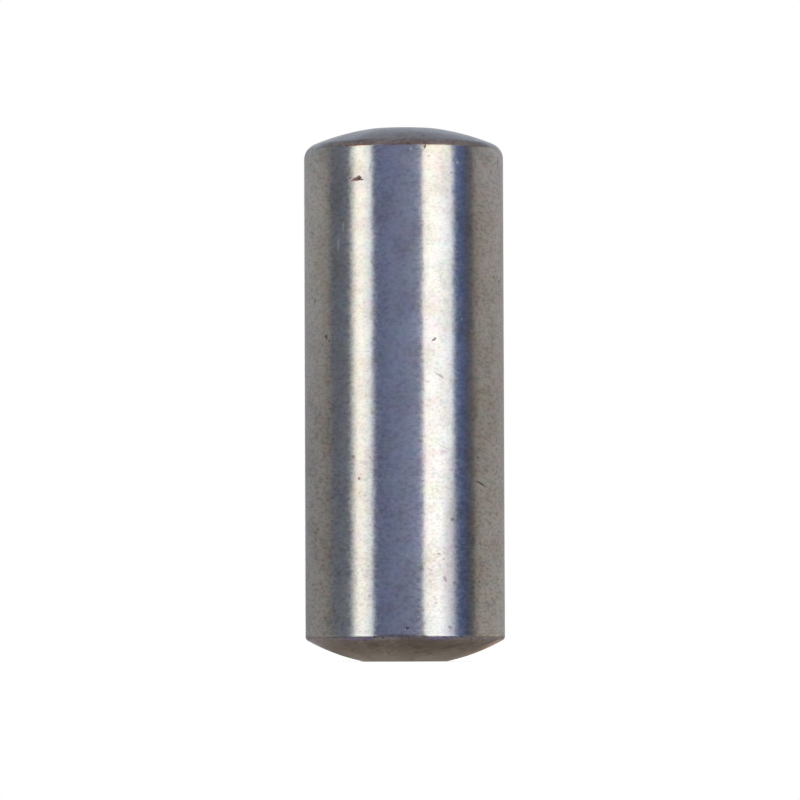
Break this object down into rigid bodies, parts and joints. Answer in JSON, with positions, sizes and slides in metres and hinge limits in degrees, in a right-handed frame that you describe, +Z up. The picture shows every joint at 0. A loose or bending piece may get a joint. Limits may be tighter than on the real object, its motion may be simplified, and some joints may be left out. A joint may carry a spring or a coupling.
{
  "type": "dowel pin",
  "caption": "Short solid steel dowel pin, a ground cylinder with a round-edged crown on top and a crowned lower end with a flat foot, for locating two parts on each other.",
  "frame": {"origin": "centre of the flat foot, the lowest point of the pin on its axis", "axes": "+Z up along the pin's axis from the foot to the crowned top; X and Y run across the pin, which is round, with -Y towards the picture's camera"},
  "size_m": [0.006, 0.006, 0.016],
  "materials": {
    "ground_steel": "fine ground and lightly worn on the shank, duller tumbled grey on both ends"
  },
  "bodies": {
    "root": {"dowel_pin": "ground_steel"}
  },
  "joints": []
}
